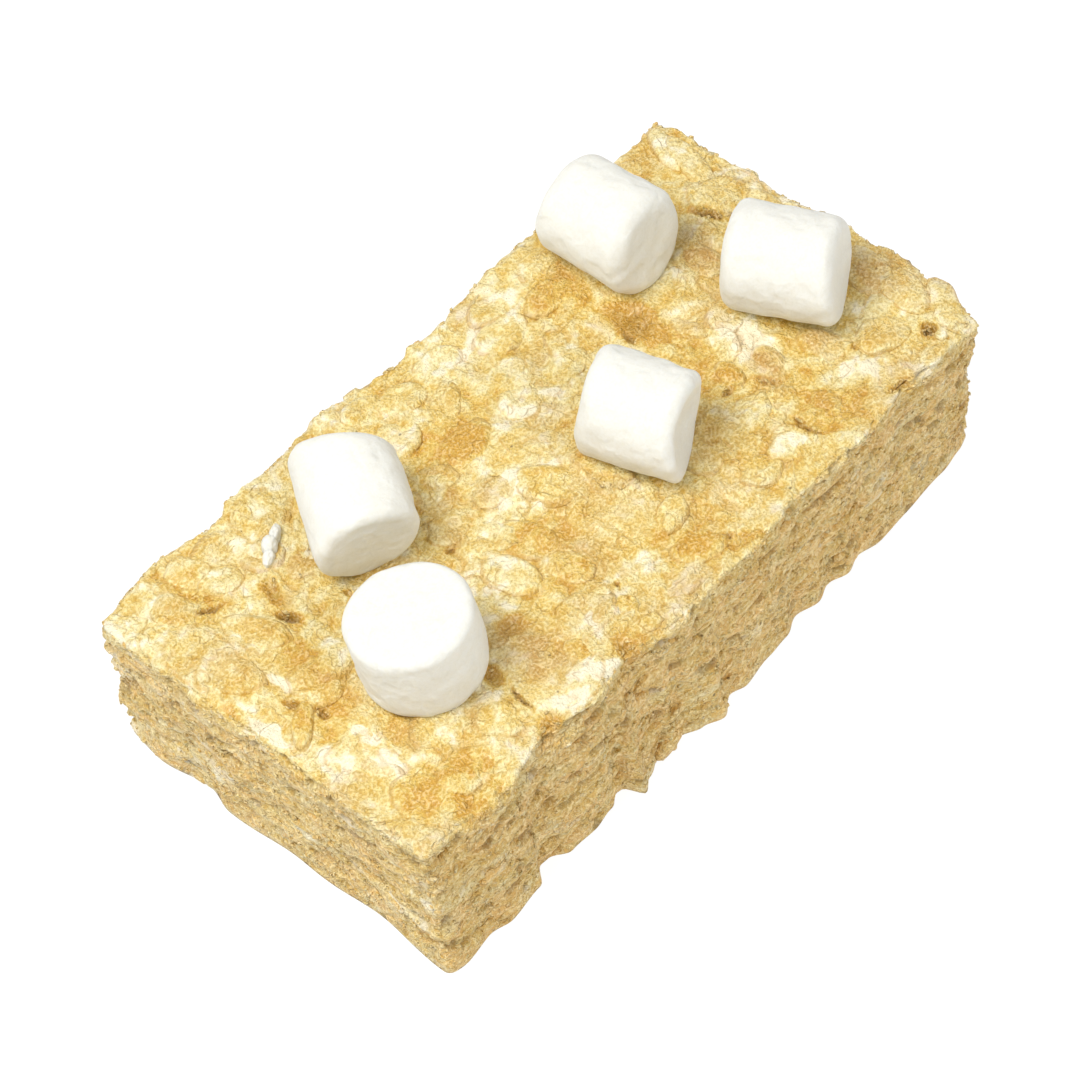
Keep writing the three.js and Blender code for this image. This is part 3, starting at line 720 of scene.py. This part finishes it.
def blistered(g, given, crisps):
    """Every crisp bent, warped and blistered in its own way, and none of it below the floor."""
    start = g.vector("ADD", g.named("own"), g.named("drift"))
    lifts = []
    for kind, detail in (("Warp", 1.0), ("Blister", 2.5)):
        lumps = g.lumps(start, given[kind + " Scale"], detail)[0]
        lifts.append(g.times(g.math("SUBTRACT", lumps, 0.5), given[kind + " Height"]))
    wander = g.times(given["Wander"], g.named("loose", "FLOAT"))
    bent = g.moved(crisps, "Offset", g.stray(start, given["Wander Scale"], 1.0, wander))
    normal = g.add("GeometryNodeInputNormal").outputs[0]
    warped = g.moved(bent, "Offset", g.vector("SCALE", normal, g.math("ADD", *lifts)))
    ended = g.add("GeometryNodeInputPosition").outputs[0]
    return g.moved(warped, "Position", g.vector("MAXIMUM", ended, (-1.0, -1.0, 0.0)))


def crisp_tree():
    """Sets one puffed oval on each point, then blisters every one of them in its own way."""
    inputs = {
        GEOMETRY: ["Points"], "NodeSocketInt": ["Roundness"], "NodeSocketMaterial": ["Finish"],
        FLOAT: ["Dish", "Flatness", "Wander", "Wander Scale", "Warp Height", "Warp Scale",
                "Blister Height", "Blister Scale"],
    }
    tree, g, given = node_group("crisps_on_points", "GeometryNodeTree", inputs, {GEOMETRY: ["Crisps"]})
    placed = g.add("GeometryNodeInstanceOnPoints", {
        "Points": given["Points"], "Instance": puffed_oval(g, given),
        "Rotation": g.named("turn"), "Scale": g.named("half"),
    }).outputs[0]
    real = g.add("GeometryNodeRealizeInstances", {"Geometry": placed}).outputs[0]
    finish = {"Geometry": blistered(g, given, real), "Material": given["Finish"]}
    g.add("NodeGroupOutput", {"Crisps": g.add("GeometryNodeSetMaterial", finish).outputs[0]})
    return tree


CRISP_TREE = crisp_tree()


def grow_crisps(name, crisps, material, seed, **sizes):
    """Makes one plain mesh of many crisps."""
    rng = np.random.default_rng(seed)
    points = make_object(name + "_points", [crisp["at"] for crisp in crisps], [], material)
    turns = [Matrix(crisp["axes"]).to_euler() for crisp in crisps]
    store(points.data, "turn", [list(turn) for turn in turns])
    store(points.data, "half", np.array([crisp["half"] for crisp in crisps]) * MM)
    store(points.data, "drift", rng.uniform(-50, 50, (len(crisps), 3)))
    for name_of in ("toast", "shade", "loose"):
        store(points.data, name_of, [crisp[name_of] for crisp in crisps])
    modifier = points.modifiers.new("crisps", "NODES")
    modifier.node_group = CRISP_TREE
    values = dict(sizes, Finish=material)
    for item in CRISP_TREE.interface.items_tree:
        if item.in_out == "INPUT" and item.name in values:
            modifier[item.identifier] = values[item.name]
    shown = points.evaluated_get(bpy.context.evaluated_depsgraph_get())
    mesh = bpy.data.meshes.new_from_object(shown)
    mesh.name = name
    mesh.polygons.foreach_set("use_smooth", [True] * len(mesh.polygons))
    bpy.data.objects.remove(points)
    return in_scene(name, mesh)


# ---- the core

CORE_CELL = np.array([0.28, 0.28, 0.33])
FILM_TOAST = 0.43


def block_skin():
    """Whole-number corners and squares of a block's top and four sides, cut into small cells."""
    cells = np.round(BAR_SIZE / CORE_CELL).astype(int)
    squares = []
    for axis, end in ((0, 0), (0, 1), (1, 0), (1, 1), (2, 1)):
        i, j = [k for k in range(3) if k != axis]
        a, b = np.meshgrid(np.arange(cells[i]), np.arange(cells[j]), indexing="ij")
        quads = np.zeros((a.size, 4, 3), int)
        quads[:, :, axis] = cells[axis] * end
        for corner, (da, db) in enumerate(((0, 0), (1, 0), (1, 1), (0, 1))):
            quads[:, corner, i] = a.ravel() + da
            quads[:, corner, j] = b.ravel() + db
        outward = (axis != 1) == bool(end)
        squares.append(quads if outward else quads[:, ::-1])
    corners = np.concatenate(squares).reshape(-1, 3)
    unique, index = np.unique(corners, axis=0, return_inverse=True)
    return unique, index.reshape(-1, 4), cells


def rounded_block(unit, cells):
    """The plain block with rounded edges, and the way each point faces."""
    plain = unit / cells * BAR_SIZE - [*BAR_HALF, 0]
    share = np.clip(plain[:, 2] / BAR_HEIGHT, 0, 1)
    radius = BASE_EDGE_ROUND + (TOP_EDGE_ROUND - BASE_EDGE_ROUND) * share
    low = np.stack([-BAR_HALF[0] + radius, -BAR_HALF[1] + radius, radius * 0], axis=1)
    high = np.stack([BAR_HALF[0] - radius, BAR_HALF[1] - radius, BAR_HEIGHT - radius], axis=1)
    inner = np.clip(plain, low, high)
    away = plain - inner
    length = np.linalg.norm(away, axis=1)
    facing = away / np.maximum(length, 1e-9)[:, None]
    return inner + facing * radius[:, None], facing


def ellipse_distance(points, centre, half_length, half_width, turn):
    """1 on the oval's rim, 0 in its middle."""
    away = points - centre
    along = away @ [math.cos(turn), math.sin(turn)]
    across = away @ [-math.sin(turn), math.cos(turn)]
    return np.hypot(along / half_length, across / half_width)


def broken_lines(points, pitch, width, seed):
    """Thin winding lines that come and go: 1 on a line, 0 away from it."""
    line = np.abs(soft_noise(points, pitch, seed))
    shown = smoothstep(-0.15, 0.35, soft_noise(points, np.array(pitch) * 1.6, seed + 100))
    return smoothstep(width, 0.0, line) * shown


def patch_share(plan, patches):
    """How much each place lies in any of the marked soft patches."""
    share = np.zeros(len(plan))
    flat = np.column_stack([plan, share])
    plan = plan + 0.5 * np.column_stack([soft_noise(flat, 1.4, 28), soft_noise(flat, 1.4, 29)])
    for *oval, strength in patches:
        ring = ellipse_distance(plan, *seen_ellipse(*oval))
        share = np.maximum(share, strength * smoothstep(1.35, 0.3, ring))
    return share


def patch_tone(plan):
    """How much warmer the soft patches make each place."""
    return 0.95 * patch_share(plan, GOLD_PATCHES) - patch_share(plan, CREAM_PATCHES)


def film_tones(points):
    """The film's toast and shade at each place."""
    plan = points[:, :2]
    toast = FILM_TOAST + 0.16 * soft_noise(points, 6.0, 21) + patch_tone(plan)
    shade = np.clip(0.08 + 0.4 * soft_noise(points, 5.0, 22), 0, 0.6)
    # The tan patches add shade, which is painted shadow beside the marshmallows.
    return toast, np.maximum(shade, patch_share(plan, TAN_AND_SHADOW_PATCHES))


def blend_into_film(piece):
    """Lets the film's tones run on over the rims of the crisps that lie in it."""
    mesh = piece.data
    points = np.zeros(len(mesh.vertices) * 3)
    mesh.vertices.foreach_get("co", points)
    own = np.zeros(len(mesh.vertices) * 3)
    mesh.attributes["own"].data.foreach_get("vector", own)
    points = points.reshape(-1, 3) / MM - BAR_PLACE
    share = smoothstep(0.45, 0.85, own.reshape(-1, 3)[:, 2])
    # The tan patches run on over the crisps, and beside the marshmallows they carry painted shadow with
    # them.
    patches = (0.6 * patch_tone(points[:, :2]), 0.6 * patch_share(points[:, :2], TAN_AND_SHADOW_PATCHES))
    for name, film, patch in zip(("toast", "shade"), film_tones(points), patches):
        data = mesh.attributes[name].data
        kept = np.zeros(len(mesh.vertices))
        data.foreach_get("value", kept)
        data.foreach_set("value", ((kept + patch) * share + film * (1 - share)).astype(np.float32))


def draped(flat, bend, rough, crisps):
    """Height of the film over and between the top's crisps, and the creases round their rims."""
    height = rough - 0.1
    plan = (flat + 0.6 * bend)[:, :2]
    broken = smoothstep(-0.3, 0.4, soft_noise(flat, 2.3, 6))
    crease = np.zeros(len(flat))
    for crisp in crisps:
        turn = math.atan2(crisp["axes"][1, 0], crisp["axes"][0, 0])
        ring = ellipse_distance(plan, crisp["at"][:2], crisp["half"][0], crisp["half"][1], turn)
        crown = crisp["at"][2] + crisp["half"][2] - BAR_HEIGHT
        margin = 0.42 if crisp["clear"] else 0.12
        climb = (crown - margin) * smoothstep(1.35, 0.95, ring)
        height = np.maximum(height, climb + 0.7 * rough - 0.1)
        if crisp["clear"]:
            inside = smoothstep(0.92, 0.7, ring)
            height = height * (1 - inside) + np.minimum(height, crown - 0.5) * inside
        rim = smoothstep(0.1, 0.0, np.abs(ring - 1.0)) * (crown > 0.2)
        crease = np.maximum(crease, rim * broken)
    return height, crease


def top_relief(points, crisps):
    """The film's height on the top, its creases, the painted shade in its hollows, and a golden tone round
    them that is partly painted shade.
    """
    flat = points * [1, 1, 0]
    bend = 0.9 * np.stack([soft_noise(flat, 3.1, 4), soft_noise(flat, 3.1, 5), points[:, 2] * 0], axis=1)
    bent = flat + bend
    lumps = ((0.18, 3.0, 1), (0.13, 1.5, 2), (0.1, 0.8, 3))
    rough = sum(height * soft_noise(bent, pitch, seed) for height, pitch, seed in lumps)
    height, crease = draped(flat, bend, rough, crisps)
    crease = np.maximum(crease, broken_lines(bent, 3.4, 0.13, 7))
    crease = np.maximum(crease, 0.7 * broken_lines(bent, 1.7, 0.16, 8))
    height -= 0.2 * crease
    hollow_shade = np.zeros(len(points))
    ring_gold_and_shade = np.zeros(len(points))
    for *oval, deep, dark in HOLLOWS_SEEN:
        ring = ellipse_distance(flat[:, :2] + 0.25 * bend[:, :2], *seen_ellipse(*oval))
        inside = smoothstep(1.2, 0.4, ring)
        height = height - deep * inside
        # The bottom of a hollow gets painted shade, and the ring round it a more golden tone that is partly
        # painted shade.
        hollow_shade = np.maximum(hollow_shade, dark * inside)
        ring_gold_and_shade = np.maximum(ring_gold_and_shade, 0.6 * smoothstep(1.7, 0.9, ring))
    return height, 0.5 * crease, hollow_shade, ring_gold_and_shade


def side_relief(points):
    """Layers, lips and pits of the cut sides, with painted shade in the pits."""
    bend = soft_noise(points, [9, 9, 5], 10)
    phase = points[:, 2] / 2.3 + 1.2 * bend + 0.5 * soft_noise(points, [3, 3, 1.5], 11)
    lip = phase - np.floor(phase)
    lips = (lip ** 2 - 0.33) * smoothstep(-0.2, 0.8, soft_noise(points, [4, 4, 2.5], 12))
    layers = 0.2 * soft_noise(points, [5, 5, 1.2], 13) + 0.14 * soft_noise(points, [2.2, 2.2, 0.9], 14)
    grain = 0.10 * soft_noise(points, [1.1, 1.1, 0.7], 15) + 0.10 * soft_noise(points, [0.6, 0.6, 0.6], 18)
    lines = broken_lines(points, [2.6, 2.6, 1.1], 0.12, 19)
    pits = smoothstep(0.5, 0.85, soft_noise(points, [1.5, 1.5, 0.9], 16))
    height = 0.16 * lips + layers + grain - 0.12 * lines - 0.55 * pits - 0.08
    # The pits' darkness is painted shade.
    return height, 0.2 * lines, 0.5 * pits


def side_tones(points, front):
    """The cut sides' toast and shade, in pale and dark layers, warmer on the front as painted warm shade."""
    pale = smoothstep(0.15, 0.7, soft_noise(points, [4.0, 4.0, 0.7], 24))
    shade = np.clip(0.68 + 0.3 * soft_noise(points, [4, 4, 1.5], 23) - 0.3 * pale + 0.2 * front, 0, 1)
    toast = 0.45 + 0.2 * soft_noise(points, [3.5, 3.5, 1.2], 25) + 0.15 * front - 0.25 * pale
    return toast, shade


def blended(share, first, second):
    return share * first + (1 - share) * second


def make_core(crisps, film, cut):
    """The bar's own skin: the film on the top and the cut sides, with their relief and tones."""
    unit, squares, cells = block_skin()
    points, facing = rounded_block(unit, cells)
    top_lift, top_crease, top_hollow_shade, hollow_gold_and_shade = top_relief(points, crisps)
    side_lift, side_crease, side_hollow_shade = side_relief(points)
    crumble = soft_noise(points, 1.7, 26)
    upward = smoothstep(0.15, 0.8, facing[:, 2] + 0.35 * crumble * (facing[:, 2] > 0.02))
    on_edge = smoothstep(0.0, 0.4, facing[:, 2]) * smoothstep(1.0, 0.7, facing[:, 2])
    height = blended(upward, top_lift, side_lift * smoothstep(0.0, 1.2, points[:, 2]))
    height += on_edge * 0.4 * crumble
    formed = bar_form(points) + facing * height[:, None]
    formed[:, 2] = np.maximum(formed[:, 2], 0)
    plain = unit - cells / 2
    rim = sorted(np.flatnonzero(unit[:, 2] == 0), key=lambda i: math.atan2(plain[i, 1], plain[i, 0]))
    core = make_object("crispy_bar_core", formed, squares.tolist() + [rim[::-1]], film)
    core.data.materials.append(cut)
    is_side = [0 if face.normal.z > 0.55 else 1 for face in core.data.polygons]
    core.data.polygons.foreach_set("material_index", is_side)
    film_toast, film_shade = film_tones(points)
    # The front's warmer tint is painted shade.
    side_toast, side_shade = side_tones(points, smoothstep(0.3, 0.8, -facing[:, 1]))
    uneven = points[:, 2] + 1.3 * soft_noise(points, 2.6, 27)
    run_over = smoothstep(BAR_HEIGHT - 3.0, BAR_HEIGHT - 0.5, uneven)
    glazed = np.maximum(upward, 0.7 * run_over)
    # More golden in the film's low places and paler on its crowns: partly the glaze's tone, partly painted
    # shade and painted light.
    low_gold_and_shade = np.clip(-0.9 * (top_lift + 0.05), -0.14, 0.2)
    toast = blended(glazed, film_toast + hollow_gold_and_shade + low_gold_and_shade, side_toast)
    # Paler and less tan along the rounded top edge: painted light.
    store(core.data, "toast", toast - 0.1 * on_edge)
    store(core.data, "shade", blended(glazed, film_shade, side_shade) * (1 - 0.3 * on_edge))
    store(core.data, "crease", blended(upward, top_crease, side_crease))
    # Painted shade of hollows and pits.
    store(core.data, "hollow_shade", blended(upward, top_hollow_shade, side_hollow_shade))
    return core


# ---- marshmallows

MARSHMALLOW_SIDES = 96
MARSHMALLOW_STEPS = 12
MARSHMALLOW_SWELL = 0.12


def end_rings(radius, half, edge):
    """Ring radius and height from the wall over an end's round edge towards its middle."""
    flat = radius - edge
    rings = []
    for t in np.linspace(0, math.pi / 2, MARSHMALLOW_STEPS * 2 + 1):
        rings.append((flat + edge * math.cos(t), half - edge + edge * math.sin(t)))
    for share in np.linspace(1, 0.06, MARSHMALLOW_STEPS)[1:]:
        rings.append((share * flat, half))
    return rings


def round_edge_profile(radius, half, far_edge, edge):
    """Ring radius and height from the lower end's middle to the upper one's."""
    rings = [(ring, -z) for ring, z in end_rings(radius, half, far_edge)[::-1]]
    wall = np.linspace(far_edge - half, half - edge, MARSHMALLOW_STEPS * 2)[1:-1]
    rings += [(radius, z) for z in wall]
    return np.array(rings + end_rings(radius, half, edge))


def ring_faces(rows):
    """Faces between rings of points, and fans to the two middle points that come after the rings."""
    sides = MARSHMALLOW_SIDES
    bottom = rows * sides
    last = bottom - sides
    faces = []
    for low in range(0, last, sides):
        for side in range(sides):
            nxt = (side + 1) % sides
            faces.append((low + side, low + nxt, low + sides + nxt, low + sides + side))
    for side in range(sides):
        nxt = (side + 1) % sides
        faces += [(nxt, side, bottom), (last + side, last + nxt, bottom + 1)]
    return faces


def make_marshmallow(sweet, number, material):
    radius, half, edge = sweet["radius"], sweet["half"], sweet["edge"]
    profile = round_edge_profile(radius, half, sweet["far_edge"], edge)
    angles = np.arange(MARSHMALLOW_SIDES) / MARSHMALLOW_SIDES * 2 * math.pi
    ring, height = np.repeat(profile, MARSHMALLOW_SIDES, axis=0).T
    angle = np.tile(angles, len(profile))
    points = np.stack([ring * np.cos(angle), ring * np.sin(angle), height], axis=1)
    points = np.vstack([points, [[0, 0, -half], [0, 0, half]]])
    ring = np.append(ring, [0, 0])
    outward = points / np.maximum(np.linalg.norm(points, axis=1), 1e-9)[:, None]
    swell = MARSHMALLOW_SWELL * soft_noise(points, 5.5, 30 + number)
    swell += 0.08 * soft_noise(points, 1.6, 40 + number)
    points = points + outward * swell[:, None]
    turn = np.array(Vector((0, 0, 1)).rotation_difference(Vector(sweet["axis"]).normalized()).to_matrix())
    flare = 1 + sweet["flare"] * points[:, 2] / half
    in_dish = smoothstep(radius - edge / 2, 0, ring)
    shown_end = smoothstep(half * 0.2, half, points[:, 2])
    upward = points[:, :2] @ (turn.T @ UP)[:2] / radius
    bend = shown_end * sweet["saddle"] * (2 * upward ** 2 - 0.8)
    share = np.clip((points[:, 2] / half + 1) / 2, 0, 1)[:, None]
    slant = np.array(sweet["slant"]) @ turn * share + np.array(sweet["far_slant"]) @ turn * (1 - share)
    points[:, 2] += bend - shown_end * sweet["dish"] * in_dish + (points[:, :2] * slant[:, :2]).sum(axis=1)
    points[:, :2] *= flare[:, None]
    placed = points @ turn.T + sweet["at"]
    return make_object(sweet["name"] + "_soft", placed, ring_faces(len(profile)), material)


# ---- light and floor

FLOOR_SIZE = 3.0
FLOOR_GAP = 0.05
FLOOR_SHADE = 0.18
FLOOR_GLOW = 0.89
WORLD_LIGHT = 0.54
LAMP_DISTANCE = 0.6
# Name, power, size and where it shines from.
LAMPS = (("key", 2.65, 0.3, (-0.38, 0.14, 0.92)), ("fill", 0.88, 0.3, (0.0, -0.72, 0.7)))


def make_floor():
    """A pale plain floor just under the bar, with a glow that keeps it white as in the photo."""
    mesh = bpy.data.meshes.new("floor")
    corners = [(x * FLOOR_SIZE / 2, y * FLOOR_SIZE / 2, 0) for x, y in ((-1, -1), (1, -1), (1, 1), (-1, 1))]
    mesh.from_pydata(corners, [], [(0, 1, 2, 3)])
    material, g, shader, place = new_material("pale_floor")
    g.fill(shader, {
        "Base Color": (FLOOR_SHADE, FLOOR_SHADE, FLOOR_SHADE, 1), "Roughness": 0.9,
        "Emission Color": (1, 1, 1, 1), "Emission Strength": FLOOR_GLOW,
    })
    mesh.materials.append(material)
    floor = in_scene("floor", mesh)
    floor.location.z = -FLOOR_GAP * MM


def make_light():
    world = bpy.data.worlds.new("studio")
    world.use_nodes = True
    sky = world.node_tree.nodes["Background"]
    sky.inputs["Color"].default_value = (1.0, 1.0, 1.0, 1)
    sky.inputs["Strength"].default_value = WORLD_LIGHT
    bpy.context.scene.world = world
    for name, power, size, shines_from in LAMPS:
        lamp = bpy.data.lights.new(name, "AREA")
        lamp.shape = "DISK"
        lamp.size = size
        lamp.energy = power
        held = in_scene(name, lamp)
        direction = Vector(shines_from).normalized()
        held.location = direction * LAMP_DISTANCE
        held.rotation_mode = "QUATERNION"
        held.rotation_quaternion = direction.to_track_quat("Z", "Y")
    bpy.context.scene.view_settings.view_transform = "Standard"


# ---- putting it together

# The white scrap: its oval as above, and its height.
SCRAP_OVAL = (271, 547, -5, 19, 0.75)
SCRAP_HEIGHT = 0.9
CRUMB_COUNT = 8000
SIDES = {"front": (0, -1, 0), "back": (0, 1, 0), "left": (-1, 0, 0), "right": (1, 0, 0)}
TOP_RICE = dict(tan="#CFA456", grain=0.3, bump=0.26, roughness=0.4, coat=0.3, speckle=0.65)
CUT_RICE = dict(
    tan="#FDD384", grain=0.4, bump=0.5, roughness=0.55, coat=0.1, speckle=0.7, variation=0.4, flatten=1.3,
)


def crisp_sizes(roundness, dish, flatness, wander, warp, blister):
    """Inputs for the crisp tree. Each of the last three is a height in millimetres and a scale."""
    sizes = {"Roundness": roundness, "Dish": dish, "Flatness": flatness,
             "Wander": wander[0] * MM, "Wander Scale": wander[1]}
    for kind, (height, scale) in (("Warp", warp), ("Blister", blister)):
        sizes[kind + " Height"] = height * MM
        sizes[kind + " Scale"] = scale
    return sizes


SEEN = crisp_sizes(4, 0.15, 0.6, (1.3, 0.8), (0.4, 1.5), (0.3, 4.0))
FILLING = crisp_sizes(3, 0.2, 0.6, (2.2, 0.8), (0.55, 1.5), (0.3, 4.0))
LAYERED = crisp_sizes(2, 0.0, 0.2, (0.7, 0.9), (0.4, 1.6), (0.3, 4.0))
CRUMB = crisp_sizes(1, 0.0, 0.5, (0.0, 1.0), (0.25, 1.2), (0.0, 1.0))
SMEAR = crisp_sizes(4, 0.0, 0.2, (1.2, 1.1), (0.5, 1.6), (0.12, 3.0))


def marshmallow_scrap():
    """The white scrap on the left of the top, in three lumps."""
    centre, half_length, half_width, turn = seen_ellipse(*SCRAP_OVAL)
    along = np.array([math.cos(turn), math.sin(turn)])
    lumps = []
    for place, size, aside in ((-0.55, 0.8, 0.15), (0.0, 1.1, -0.1), (0.6, 0.7, 0.1)):
        plan = centre + along * half_length * place + along[::-1] * [-aside, aside]
        at = np.array([*plan, top_height(*plan) + 0.35])
        half = (0.5 * half_length, half_width * size, SCRAP_HEIGHT * size)
        lumps.append(crisp_row(at, UP_AXIS, ALONG_AXIS, half, turn, (0, 0), 0, 0))
    return lumps


def build():
    make_camera()
    make_light()
    make_floor()
    film = rice_material("marshmallow_film", variation=0.9, **TOP_RICE)
    pressed = rice_material("pressed_crisp", variation=0.8, own_rim=0.45, **TOP_RICE)
    cut = rice_material("cut_face", **CUT_RICE)
    layered = rice_material("cut_crisp", own_rim=0.2, **CUT_RICE)
    white = marshmallow_material()

    rng = np.random.default_rng(LAYOUT_SEED)
    seen = seen_crisps()
    top = seen + filling_crisps(rng, seen)
    core = ride(make_core(top, film, cut), "crispy_bar")
    for name, crisps, sizes in (("seen_crisps", seen, SEEN), ("filling_crisps", top[len(seen):], FILLING)):
        flakes = grow_crisps(name, crisps, pressed, 1, **sizes)
        blend_into_film(flakes)
        ride(flakes, "crispy_bar")
    scrap = grow_crisps("marshmallow_scrap", marshmallow_scrap(), white, 6, **SMEAR)
    ride(scrap, "crispy_bar")
    for name, outward in SIDES.items():
        made = grow_crisps("layered_crisps_" + name, side_crisps(rng, outward), layered, 2, **LAYERED)
        ride(made, "crispy_bar")
    crumbs = crumbs_on(rng, core, CRUMB_COUNT)
    ride(grow_crisps("side_crumbs", crumbs, layered, 4, **CRUMB), "crispy_bar")
    for number, sweet in enumerate(MARSHMALLOWS):
        ride(make_marshmallow(sweet, number, white), sweet["name"])


build()
